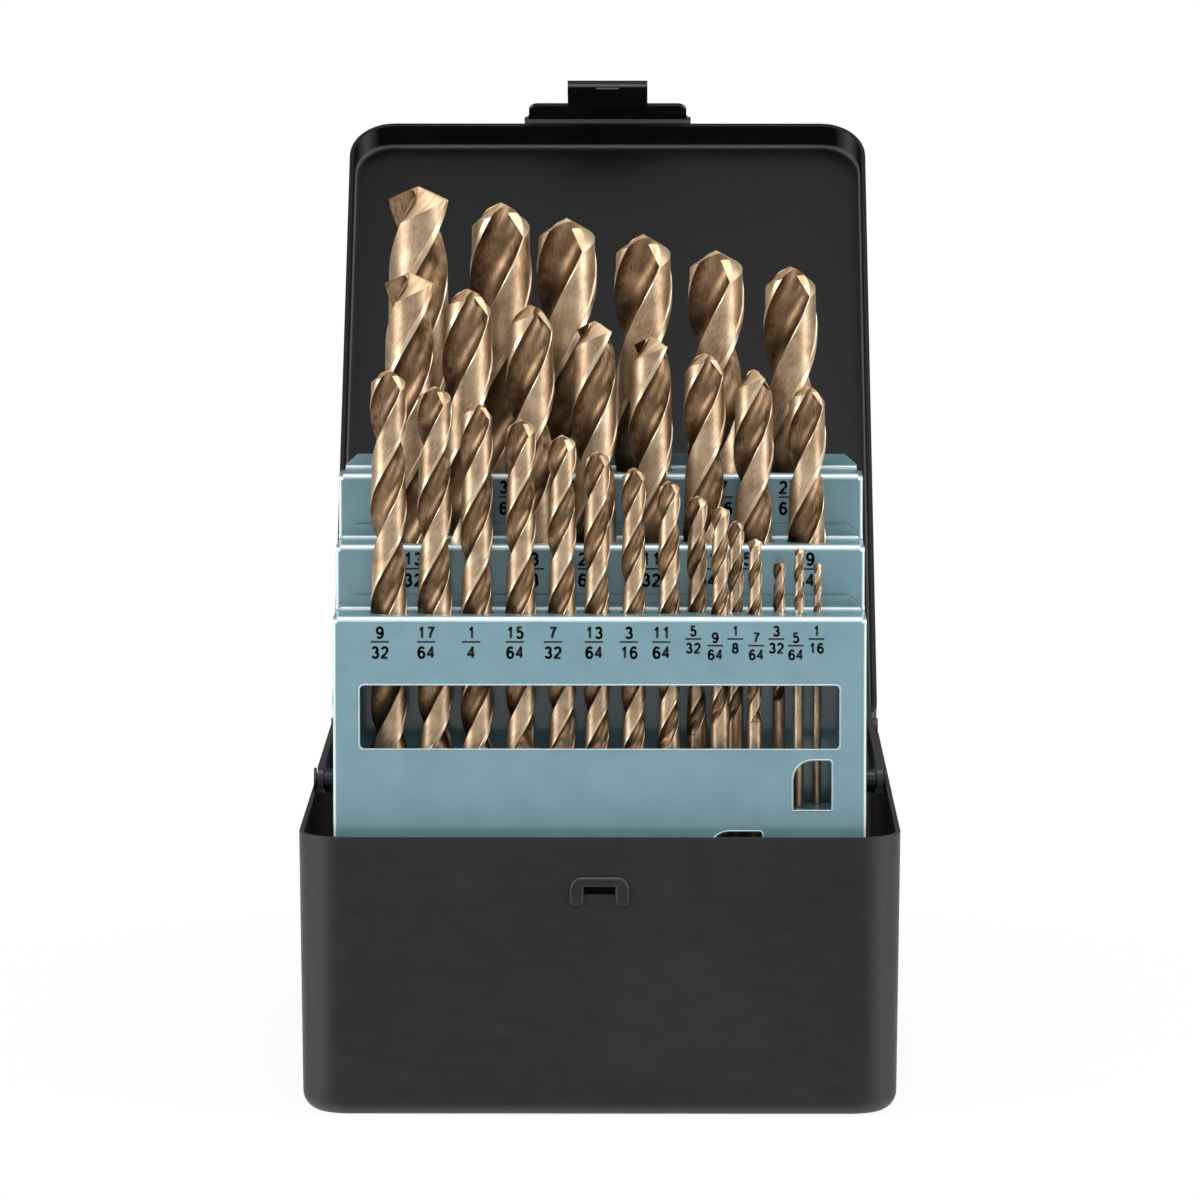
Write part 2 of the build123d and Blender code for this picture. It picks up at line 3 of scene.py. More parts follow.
import bmesh
import bpy
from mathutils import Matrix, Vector


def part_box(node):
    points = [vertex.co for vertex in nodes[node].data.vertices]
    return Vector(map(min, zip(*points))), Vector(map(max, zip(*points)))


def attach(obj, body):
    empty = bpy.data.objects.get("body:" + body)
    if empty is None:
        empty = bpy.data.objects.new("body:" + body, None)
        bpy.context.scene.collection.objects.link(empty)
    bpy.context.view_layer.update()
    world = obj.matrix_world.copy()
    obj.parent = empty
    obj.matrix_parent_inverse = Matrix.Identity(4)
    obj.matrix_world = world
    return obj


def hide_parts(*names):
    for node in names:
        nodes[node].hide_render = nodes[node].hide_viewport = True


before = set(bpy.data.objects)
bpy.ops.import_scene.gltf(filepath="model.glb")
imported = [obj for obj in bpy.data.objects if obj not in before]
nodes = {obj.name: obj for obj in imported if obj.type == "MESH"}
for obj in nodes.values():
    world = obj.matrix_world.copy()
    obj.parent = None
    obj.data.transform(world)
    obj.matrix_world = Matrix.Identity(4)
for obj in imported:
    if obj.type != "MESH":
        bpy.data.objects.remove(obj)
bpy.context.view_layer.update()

mm = 0.001


# The case: a base and a lid, each drawn from one sheet of 0.9 mm steel, with a latch tab spot
# welded to the lid. All of it is powder coated black before the rack goes in. The lid's coat is
# drawn darker and duller than the base's: a shaded copy of the same coat, painted shade. That the
# lid's coat is darker and duller than the base's is a guess. Both coats carry a painted highlight
# along their bends.
def linear(hex_colour):
    """An sRGB hex colour as the linear colour that a shader takes."""
    parts = [int(hex_colour[i:i + 2], 16) / 255 for i in (1, 3, 5)]
    return [p / 12.92 if p <= 0.04045 else ((p + 0.055) / 1.055) ** 2.4 for p in parts] + [1.0]


def add_node(tree, kind, inputs=None, **settings):
    """Adds a node with its settings. Each input takes a value, or a link from another socket."""
    made = tree.nodes.new(kind)
    for name, value in settings.items():
        setattr(made, name, value)
    for name, value in (inputs or {}).items():
        if isinstance(value, bpy.types.NodeSocket):
            tree.links.new(value, made.inputs[name])
        else:
            made.inputs[name].default_value = value
    return made


def new_finish(name):
    """A new material, with its node tree and the plain shader that it starts from."""
    material = bpy.data.materials.new(name)
    material.use_nodes = True
    return material, material.node_tree, material.node_tree.nodes["Principled BSDF"]


def bend_mask(tree, lean, flat, round_over):
    """How far a face turns from the sheet's flat sides: 0 on a flat, 1 on the middle of a bend."""
    normal = add_node(tree, "ShaderNodeTexCoord").outputs["Normal"]
    level = add_node(tree, "ShaderNodeVectorRotate", {"Vector": normal, "Angle": lean},
                     rotation_type="X_AXIS")
    plain = add_node(tree, "ShaderNodeVectorMath", {0: level.outputs["Vector"]},
                     operation="ABSOLUTE")
    parts = add_node(tree, "ShaderNodeSeparateXYZ", {"Vector": plain.outputs["Vector"]}).outputs
    wider = add_node(tree, "ShaderNodeMath", {0: parts["X"], 1: parts["Y"]}, operation="MAXIMUM")
    widest = add_node(tree, "ShaderNodeMath", {0: wider.outputs["Value"], 1: parts["Z"]},
                      operation="MAXIMUM")
    mask = add_node(tree, "ShaderNodeMapRange",
                    {"Value": widest.outputs["Value"], "From Min": flat, "From Max": round_over})
    return mask.outputs["Result"]


def black_powder_coat(name, lean, coat_black, coat_dusty, coat_bend_highlight, shine):
    """Satin powder coat: baked polyester with a fine orange peel and a painted highlight along its
    bends.
    """
    peel_size = 0.7 * mm
    peel_depth = 0.05 * mm
    cloud_size = 30 * mm
    brush_size = 2.5 * mm
    brush_stretch = (0.45, 1, 1)
    strongest_bend_highlight = 0.6
    material, tree, shader = new_finish(name)
    shader.inputs["Specular IOR Level"].default_value = shine
    place = add_node(tree, "ShaderNodeTexCoord").outputs["Object"]
    long_grain = add_node(tree, "ShaderNodeVectorMath", {0: place, 1: brush_stretch},
                          operation="MULTIPLY")
    cloud = add_node(tree, "ShaderNodeTexNoise",
                     {"Vector": place, "Scale": 1 / cloud_size, "Detail": 4.0})
    brush = add_node(tree, "ShaderNodeTexNoise",
                     {"Vector": long_grain.outputs["Vector"], "Scale": 1 / brush_size,
                      "Detail": 5.0})
    peel = add_node(tree, "ShaderNodeTexNoise",
                    {"Vector": place, "Scale": 1 / peel_size, "Detail": 2.0})
    both = add_node(tree, "ShaderNodeMath",
                    {0: cloud.outputs["Fac"], 1: brush.outputs["Fac"]}, operation="ADD")
    mean = add_node(tree, "ShaderNodeMath", {0: both.outputs["Value"], 1: 0.5},
                    operation="MULTIPLY")
    tone = add_node(tree, "ShaderNodeValToRGB", {"Fac": mean.outputs["Value"]})
    tone.color_ramp.elements[0].position = 0.38
    tone.color_ramp.elements[0].color = linear(coat_black)
    tone.color_ramp.elements[1].position = 0.66
    tone.color_ramp.elements[1].color = linear(coat_dusty)
    # the bends are drawn paler toward the last colour: a painted highlight
    bend_highlight = add_node(tree, "ShaderNodeMath",
                      {0: bend_mask(tree, lean, flat=0.93, round_over=0.75), 1: strongest_bend_highlight},
                      operation="MULTIPLY")
    mixed = add_node(tree, "ShaderNodeMix", data_type="RGBA")
    tree.links.new(bend_highlight.outputs["Value"], mixed.inputs["Factor"])
    tree.links.new(tone.outputs["Color"], mixed.inputs[6])
    mixed.inputs[7].default_value = linear(coat_bend_highlight)
    gloss = add_node(tree, "ShaderNodeMapRange",
                     {"Value": both.outputs["Value"], "From Min": 0.6, "From Max": 1.4,
                      "To Min": 0.36, "To Max": 0.52})
    bump = add_node(tree, "ShaderNodeBump",
                    {"Height": peel.outputs["Fac"], "Strength": 0.12, "Distance": peel_depth})
    tree.links.new(mixed.outputs[2], shader.inputs["Base Color"])
    tree.links.new(gloss.outputs["Result"], shader.inputs["Roughness"])
    tree.links.new(bump.outputs["Normal"], shader.inputs["Normal"])
    return material


def give(material, *names):
    """Puts one finish on CAD nodes, in place of what they were packed with."""
    for name in names:
        slots = nodes[name].data.materials
        slots.clear()
        slots.append(material)


lid_lean = math.radians(135.6)
# each coat's last colour is painted along its bends as a highlight
base_coat = black_powder_coat("black_powder_coat", lean=0.0, coat_black="#151516",
                              coat_dusty="#1f1f20", coat_bend_highlight="#3c3c3e", shine=0.3)
# the lid's copy of the coat is darker, painted shade, and its bends carry a brighter painted
# highlight
lid_shaded_coat = black_powder_coat("black_powder_coat_lid_shaded", lean=lid_lean, coat_black="#0a0a0b",
                             coat_dusty="#101011", coat_bend_highlight="#6a6a6c", shine=0.12)
give(base_coat, "base_shell", "hinge_base_leaf", "pivot_bracket_left", "pivot_bracket_right")
give(base_coat, "lift_link_left", "lift_link_right")
give(lid_shaded_coat, "lid_shell", "latch_tab", "latch_tongue", "hinge_lid_leaf")
give(lid_shaded_coat, "lid_lug_left", "lid_lug_right")


# Pins and rivets: turned from mild steel rod and taken to be chemically blacked, then pressed or
# riveted in after the sheet parts are coated.
def blacked_steel():
    """Chemically blacked steel: dark oxide with a little metal shine and a few rubbed spots."""
    oxide_black = "#1b1b1c"
    rubbed_grey = "#3a3a3b"
    spot_size = 1.5 * mm
    material, tree, shader = new_finish("blacked_steel")
    shader.inputs["Metallic"].default_value = 1.0
    place = add_node(tree, "ShaderNodeTexCoord").outputs["Object"]
    spots = add_node(tree, "ShaderNodeTexNoise",
                     {"Vector": place, "Scale": 1 / spot_size, "Detail": 3.0})
    tone = add_node(tree, "ShaderNodeValToRGB", {"Fac": spots.outputs["Fac"]})
    tone.color_ramp.elements[0].color = linear(oxide_black)
    tone.color_ramp.elements[1].color = linear(rubbed_grey)
    gloss = add_node(tree, "ShaderNodeMapRange",
                     {"Value": spots.outputs["Fac"], "To Min": 0.5, "To Max": 0.3})
    tree.links.new(tone.outputs["Color"], shader.inputs["Base Color"])
    tree.links.new(gloss.outputs["Result"], shader.inputs["Roughness"])
    return material


blacked = blacked_steel()
give(blacked, "hinge_pin", "rack_pivot_left", "rack_pivot_right")
give(blacked, "rack_lift_pin_left", "rack_lift_pin_right", "lid_lift_pin_left",
     "lid_lift_pin_right")


# The rack: three folded trays of 0.9 mm steel and two seats, welded between two stepped side plates
# and stove enamelled blue grey. The bends are drawn near white, a painted highlight where they
# catch the light, and the foot is drawn dark, a painted shade.
def blue_enamel():
    """Stove enamel, semi-gloss: blue grey with a soft ripple, a painted highlight over the bends
    and painted shade on the foot.
    """
    enamel_blue = "#678a94"
    enamel_deep = "#5f828c"
    enamel_bend_highlight = "#d5e2e4"
    foot_painted_shade = "#04151b"
    foot_below = 52 * mm
    foot_fade = 3 * mm
    ripple_size = 6 * mm
    grain_size = 0.5 * mm
    ripple_depth = 0.07 * mm
    material, tree, shader = new_finish("blue_enamel")
    shader.inputs["Coat Weight"].default_value = 0.8
    shader.inputs["Coat Roughness"].default_value = 0.12
    place = add_node(tree, "ShaderNodeTexCoord").outputs["Object"]
    ripple = add_node(tree, "ShaderNodeTexNoise",
                      {"Vector": place, "Scale": 1 / ripple_size, "Detail": 3.0})
    grain = add_node(tree, "ShaderNodeTexNoise",
                     {"Vector": place, "Scale": 1 / grain_size, "Detail": 2.0})
    tone = add_node(tree, "ShaderNodeValToRGB", {"Fac": ripple.outputs["Fac"]})
    tone.color_ramp.elements[0].position = 0.3
    tone.color_ramp.elements[0].color = linear(enamel_deep)
    tone.color_ramp.elements[1].position = 0.7
    tone.color_ramp.elements[1].color = linear(enamel_blue)
    at = add_node(tree, "ShaderNodeSeparateXYZ", {"Vector": place}).outputs
    # the bends are drawn near white: a painted highlight
    mixed = add_node(tree, "ShaderNodeMix", data_type="RGBA")
    tree.links.new(bend_mask(tree, lean=0.0, flat=0.985, round_over=0.78),
                   mixed.inputs["Factor"])
    tree.links.new(tone.outputs["Color"], mixed.inputs[6])
    mixed.inputs[7].default_value = linear(enamel_bend_highlight)
    # the foot stays inside the base when the case is open, and it is drawn dark there as painted
    # shade; the foot stays inside the base when the case is open, and that it is dark is a guess
    foot = add_node(tree, "ShaderNodeMapRange",
                    {"Value": at["Z"], "From Min": foot_below,
                     "From Max": foot_below - foot_fade})
    inner = add_node(tree, "ShaderNodeMix", data_type="RGBA")
    tree.links.new(foot.outputs["Result"], inner.inputs["Factor"])
    tree.links.new(mixed.outputs[2], inner.inputs[6])
    inner.inputs[7].default_value = linear(foot_painted_shade)
    gloss = add_node(tree, "ShaderNodeMapRange",
                     {"Value": ripple.outputs["Fac"], "To Min": 0.26, "To Max": 0.38})
    both = add_node(tree, "ShaderNodeMath",
                    {0: ripple.outputs["Fac"], 1: grain.outputs["Fac"]}, operation="ADD")
    bump = add_node(tree, "ShaderNodeBump",
                    {"Height": both.outputs["Value"], "Strength": 0.1, "Distance": ripple_depth})
    tree.links.new(inner.outputs[2], shader.inputs["Base Color"])
    tree.links.new(gloss.outputs["Result"], shader.inputs["Roughness"])
    tree.links.new(bump.outputs["Normal"], shader.inputs["Normal"])
    return material


enamel = blue_enamel()
trays = ("front_tray", "middle_tray", "rear_tray")
give(enamel, "rack_side_left", "rack_side_right", "seat_low", "seat_high", *trays)


# Enamel beads: where the sheet is cut, the wet enamel gathers into a thin round bead along the
# window's edge and along both small cut-outs. It belongs to the front tray and moves with it.
def rack_piece(name, built, material, smooth):
    """Makes a finished piece of a built mesh and lets it ride on the rack."""
    bmesh.ops.recalc_face_normals(built, faces=built.faces)
    made = bpy.data.objects.new(name, bpy.data.meshes.new(name))
    built.to_mesh(made.data)
    built.free()
    for polygon in made.data.polygons:
        polygon.use_smooth = smooth
    made.data.materials.append(material)
    bpy.context.collection.objects.link(made)
    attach(made, "rack")


def enamel_bead(name, left, right, bottom, top, corners, face):
    """A thin rim on the tray's face round a cut-out. Corner radii go clockwise from lower left."""
    bead_radius = 0.17 * mm
    ring_points = 8
    corner_steps = 6
    forward = Vector((0, 1, 0))
    centres = (
        (left, bottom, 1, 1, 270), (left, top, 1, -1, 180),
        (right, top, -1, -1, 90), (right, bottom, -1, 1, 0),
    )
    outline = []
    for (x, z, dx, dz, start), corner in zip(centres, corners):
        for step in range(corner_steps + 1):
            turn = math.radians(start - 90 * step / corner_steps)
            outline.append(Vector(((x + dx * corner + corner * math.cos(turn)) * mm, face,
                                   (z + dz * corner + corner * math.sin(turn)) * mm)))
    built = bmesh.new()
    rings = []
    for index, point in enumerate(outline):
        onward = (outline[(index + 1) % len(outline)] - outline[index - 1]).normalized()
        outward = Vector((onward.z, 0, -onward.x))
        ring = []
        for k in range(ring_points):
            turn = 2 * math.pi * k / ring_points
            ring.append(built.verts.new(
                point + bead_radius * (outward * math.cos(turn) + forward * math.sin(turn))))
        rings.append(ring)
    for here, there in zip(rings, rings[1:] + rings[:1]):
        for k in range(ring_points):
            after = (k + 1) % ring_points
            built.faces.new((here[k], here[after], there[after], there[k]))
    rack_piece(name, built, enamel, smooth=True)


rack_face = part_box("front_tray")[0].y
enamel_bead("window_bead", left=-46.9, right=46.9, bottom=71.4, top=84.1,
            corners=(1, 1, 1, 1), face=rack_face)
enamel_bead("small_cut_out_bead", left=37.6, right=45.4, bottom=59.4, top=69.4,
            corners=(0.3, 4, 0.8, 0.3), face=rack_face)
enamel_bead("low_cut_out_bead", left=21.3, right=31.9, bottom=45.4, top=55.4,
            corners=(0.3, 4, 0.8, 0.3), face=rack_face)


# Size marks: each bit's fraction of an inch, pad printed in black ink on the tray's face below
# its hole. The smallest seven are printed smaller, one high and one low by turns, as they stand.
def black_ink():
    """Pad printing ink: a thin matt black film, a little uneven."""
    ink_black = "#08090a"
    ink_thin = "#16181a"
    film_size = 0.8 * mm
    material, tree, shader = new_finish("black_ink")
    place = add_node(tree, "ShaderNodeTexCoord").outputs["Object"]
    film = add_node(tree, "ShaderNodeTexNoise",
                    {"Vector": place, "Scale": 1 / film_size, "Detail": 2.0})
    tone = add_node(tree, "ShaderNodeValToRGB", {"Fac": film.outputs["Fac"]})
    tone.color_ramp.elements[0].position = 0.45
    tone.color_ramp.elements[0].color = linear(ink_black)
    tone.color_ramp.elements[1].color = linear(ink_thin)
    gloss = add_node(tree, "ShaderNodeMapRange",
                     {"Value": film.outputs["Fac"], "To Min": 0.5, "To Max": 0.65})
    tree.links.new(tone.outputs["Color"], shader.inputs["Base Color"])
    tree.links.new(gloss.outputs["Result"], shader.inputs["Roughness"])
    return material


def ellipse(x, z, wide, tall, start, end):
    """Points round part of an ellipse, from one angle to another."""
    fewest_steps = 3
    step_angle = 18
    steps = max(fewest_steps, int(abs(end - start) / step_angle))
    turns = [math.radians(start + (end - start) * step / steps) for step in range(steps + 1)]
    return [(x + wide * math.cos(turn), z + tall * math.sin(turn)) for turn in turns]


# Each digit as pen strokes, in a box one high and about half as wide, its middle at the origin.
digits = {
    "1": [[(-0.17, 0.27), (-0.02, 0.36), (0.07, 0.5), (0.07, -0.5)]],
    "2": [ellipse(0.0, 0.22, 0.26, 0.28, 165, -30)
          + [(-0.02, -0.22), (-0.2, -0.38), (-0.27, -0.5), (0.28, -0.5)]],
    "3": [ellipse(-0.01, 0.25, 0.23, 0.25, 160, -90), ellipse(0.0, -0.24, 0.27, 0.26, 90, -160)],
    "4": [[(0.12, -0.5), (0.12, 0.5), (-0.29, -0.2), (0.29, -0.2)]],
    "5": [[(0.22, 0.5), (-0.16, 0.5)] + ellipse(0.0, -0.18, 0.27, 0.32, 130, -155)],
    "6": [ellipse(0.03, 0.0, 0.3, 0.5, 45, 200), ellipse(0.01, -0.2, 0.26, 0.3, 0, 360)],
    "7": [[(-0.27, 0.48), (0.27, 0.48), (0.1, 0.2), (-0.02, -0.12), (-0.08, -0.5)]],
    "8": [ellipse(0.0, 0.25, 0.21, 0.25, 0, 360), ellipse(0.0, -0.24, 0.27, 0.26, 0, 360)],
    "9": [ellipse(-0.03, 0.0, 0.3, 0.5, 225, 380), ellipse(-0.01, 0.2, 0.26, 0.3, 0, 360)],
}


def pen_stroke(built, points, pen, face):
    """Lays one stroke of ink on the tray's face: a flat strip, round where it turns."""
    ink_film = 0.03 * mm
    joint_points = 8
    y = face - ink_film
    for (x0, z0), (x1, z1) in zip(points, points[1:]):
        run = math.hypot(x1 - x0, z1 - z0) or 1.0
        dx, dz = (z1 - z0) / run * pen / 2, -(x1 - x0) / run * pen / 2
        corners = ((x0 + dx, z0 + dz), (x1 + dx, z1 + dz), (x1 - dx, z1 - dz), (x0 - dx, z0 - dz))
        built.faces.new([built.verts.new((x * mm, y, z * mm)) for x, z in corners])
    turns = [k * 2 * math.pi / joint_points for k in range(joint_points)]
    for x, z in points[1:-1]:
        ring = [(x + pen / 2 * math.cos(turn), z + pen / 2 * math.sin(turn)) for turn in turns]
        built.faces.new([built.verts.new((a * mm, y, b * mm)) for a, b in ring])


def size_marks(name, marks, face):
    """All the marks of one tray as one printed piece: fraction, x, bar's z, digit's height."""
    bar_height = 0.34
    pen_share = 0.19
    bar_half_share = 0.7
    top_rise_share = 0.7
    bottom_drop_share = 0.82
    digit_pitch_share = 0.72
    built = bmesh.new()
    for fraction, x, z, tall in marks:
        top, bottom = fraction.split("/")
        pen = pen_share * tall
        bar_half = bar_half_share * tall
        pen_stroke(built, [(x - bar_half, z), (x + bar_half, z)], bar_height, face)
        for text, rise in ((top, top_rise_share * tall), (bottom, -bottom_drop_share * tall)):
            for place, digit in enumerate(text):
                shift = (place - (len(text) - 1) / 2) * digit_pitch_share * tall
                for stroke in digits[digit]:
                    line = [(x + shift + a * (tall - pen), z + rise + b * (tall - pen))
                            for a, b in stroke]
                    pen_stroke(built, line, pen, face)
    rack_piece(name, built, ink, smooth=False)


ink = black_ink()
large_digit = 2.55
small_digit = 2.2
upper_digit = 2.75
middle_bar = 92.5
high_and_low_bar = (93.1, 91.8)
middle_row = 105.1
rear_row = 117.7
large_marks = {"9/32": -42.8, "17/64": -33.8, "1/4": -25.0, "15/64": -16.5, "7/32": -9.1,
               "13/64": -1.1, "3/16": 5.7, "11/64": 12.0}
small_marks = {"5/32": 18.2, "9/64": 22.5, "1/8": 26.4, "7/64": 30.5, "3/32": 34.4,
               "5/64": 38.2, "1/16": 42.2}
middle_marks = {"13/32": -36.8, "25/64": -24.2, "3/8": -12.9, "23/64": -2.5, "11/32": 10.0,
                "21/64": 21.0, "5/16": 28.9, "19/64": 40.3}
rear_marks = {"1/2": -35.4, "31/64": -18.3, "15/32": -6.6, "29/64": 9.0, "7/16": 24.3,
              "27/64": 37.2}
tray_marks = {
    "front": [(fraction, x, middle_bar, large_digit) for fraction, x in large_marks.items()]
             + [(fraction, x, high_and_low_bar[place % 2], small_digit)
                for place, (fraction, x) in enumerate(small_marks.items())],
    "middle": [(fraction, x, middle_row, upper_digit) for fraction, x in middle_marks.items()],
    "rear": [(fraction, x, rear_row, upper_digit) for fraction, x in rear_marks.items()],
}
for row, marks in tray_marks.items():
    size_marks(row + "_size_marks", marks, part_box(row + "_tray")[0].y)


# The bits: cobalt high speed steel rod with two right-hand flutes ground along it, which run out
# at the shank, a 135 degree point, and a straw bronze temper colour all over.
def cobalt_steel(name, light, dark, rough_low, rough_high, streak):
    """Ground cobalt steel, tempered to a straw bronze, with fine grinding lines one way."""
    line_pitch = 0.12 * mm
    line_depth = 0.02 * mm
    stain_size = 5 * mm
    line_share = 0.55
    stain_share = 0.45
    material, tree, shader = new_finish(name)
    shader.inputs["Metallic"].default_value = 1.0
    wrap = add_node(tree, "ShaderNodeUVMap", uv_map="wrap").outputs["UV"]
    place = add_node(tree, "ShaderNodeTexCoord").outputs["Object"]
    stretch = add_node(tree, "ShaderNodeVectorMath", {0: wrap, 1: streak}, operation="MULTIPLY")
    lines = add_node(tree, "ShaderNodeTexNoise",
                     {"Vector": stretch.outputs["Vector"], "Scale": mm / line_pitch,
                      "Detail": 3.0})
    stain = add_node(tree, "ShaderNodeTexNoise",
                     {"Vector": place, "Scale": 1 / stain_size, "Detail": 4.0})
    stained = add_node(tree, "ShaderNodeMath", {0: stain.outputs["Fac"], 1: stain_share},
                       operation="MULTIPLY")
    mixed = add_node(tree, "ShaderNodeMath",
                     {0: lines.outputs["Fac"], 1: line_share, 2: stained.outputs["Value"]},
                     operation="MULTIPLY_ADD")
    tone = add_node(tree, "ShaderNodeValToRGB", {"Fac": mixed.outputs["Value"]})
    tone.color_ramp.elements[0].position = 0.32
    tone.color_ramp.elements[0].color = linear(dark)
    tone.color_ramp.elements[1].position = 0.66
    tone.color_ramp.elements[1].color = linear(light)
    gloss = add_node(tree, "ShaderNodeMapRange",
                     {"Value": mixed.outputs["Value"], "To Min": rough_high, "To Max": rough_low})
    bump = add_node(tree, "ShaderNodeBump",
                    {"Height": lines.outputs["Fac"], "Strength": 0.10, "Distance": line_depth})
    tree.links.new(tone.outputs["Color"], shader.inputs["Base Color"])
    tree.links.new(gloss.outputs["Result"], shader.inputs["Roughness"])
    tree.links.new(bump.outputs["Normal"], shader.inputs["Normal"])
    return material


around = (0.06, 1.0, 1.0)
lengthwise = (1.0, 0.06, 1.0)
land_steel = cobalt_steel("ground_land_steel", light="#e4ccad", dark="#7d5c3d",
                          rough_low=0.36, rough_high=0.52, streak=lengthwise)
# the flute's steel is drawn darker than the land's: painted shade in the flute's hollow
flute_shaded_steel = cobalt_steel("ground_flute_steel", light="#a98b6c", dark="#3c2817",
                           rough_low=0.34, rough_high=0.5, streak=lengthwise)
point_steel = cobalt_steel("ground_point_steel", light="#e2ccac", dark="#a58663",
                           rough_low=0.42, rough_high=0.58, streak=around)
# the honed edges and margins are drawn paler than the land: partly their honed finish, partly a
# painted highlight
edge_and_highlight_steel = cobalt_steel("honed_edge_steel", light="#f0e1c8", dark="#c4a67f",
                          rough_low=0.32, rough_high=0.46, streak=lengthwise)
drill_steels = {"land": land_steel, "flute": flute_shaded_steel, "point": point_steel,
                "edge": edge_and_highlight_steel, "margin": edge_and_highlight_steel}


def drill_section():
    """Half of a drill's section, from a margin's corner round a flute and over the land behind it.

    Angles are in degrees and reaches are shares of the drill's radius. The fall says how far the
    flank drops behind the cutting edge there.
    """
    flute_half = 47.0
    flute_steps = 20
    rake_pull = (0.13, -0.44)
    heel_pull = (0.13, 0.38)
    heel = 0.89
    edge_arc = 2.2
    edge_rise = 0.03
    land_steps = 9
    clearance = 0.955
    margin_arc = 12.0
    margin_rise_arc = 1.2
    corner = math.radians(flute_half)
    start = (math.cos(corner), -math.sin(corner))
    end = (heel * math.cos(corner), heel * math.sin(corner))
    half = []
    for step in range(flute_steps):
        t = step / flute_steps
        x, y = (start[i] * (1 - t) ** 3 + 3 * rake_pull[i] * t * (1 - t) ** 2
                + 3 * heel_pull[i] * t * t * (1 - t) + end[i] * t ** 3 for i in (0, 1))
        fall = max(0.0, 2 * t - 1) ** 2.5
        half.append((math.degrees(math.atan2(y, x)), math.hypot(x, y), fall, "flute"))
    half.append((flute_half, heel, 1.0, "edge"))
    land_start = flute_half + edge_arc
    land_end = 180 - flute_half - margin_arc
    land_low = heel + edge_rise
    for step in range(land_steps):
        t = step / (land_steps - 1)
        kind = "land" if step < land_steps - 1 else "edge"
        half.append((land_start + (land_end - land_start) * t,
                     land_low + (clearance - heel - edge_rise) * t, (1 - 0.9 * t) ** 1.3, kind))
    half.append((land_end + margin_rise_arc, 1.0, 0.1, "margin"))
    half.append((land_end + margin_arc / 2, 1.0, 0.05, "margin"))
    return half


section = drill_section()
full_section = [(a + other, r, fall, kind) for other in (0, 180) for a, r, fall, kind in section]

# Each bit: its flute's length in millimetres, and the way its flute faces at the point, in degrees.
flutes = {
    "bit_1_2": (114.3, -47), "bit_31_64": (111.1, 44), "bit_15_32": (109.5, 25),
    "bit_29_64": (106.4, 28), "bit_7_16": (103.2, 22), "bit_27_64": (100.0, 41),
    "bit_13_32": (98.4, -46), "bit_25_64": (95.3, 58), "bit_3_8": (92.1, 70),
    "bit_23_64": (88.9, -70), "bit_11_32": (87.3, -70), "bit_21_64": (84.1, 60),
    "bit_5_16": (81.0, -85), "bit_19_64": (77.8, 55), "bit_9_32": (74.6, 38),
    "bit_17_64": (73.0, 25), "bit_1_4": (69.9, 57), "bit_15_64": (66.7, 25),
    "bit_7_32": (63.5, 18), "bit_13_64": (61.9, 30), "bit_3_16": (58.7, 45),
    "bit_11_64": (54.0, 30), "bit_5_32": (47.0, 10), "bit_9_64": (42.5, -5),
    "bit_1_8": (39.5, 30), "bit_7_64": (36.0, -30), "bit_3_32": (27.5, 15),
    "bit_5_64": (25.4, -40), "bit_1_16": (22.2, 5),
}


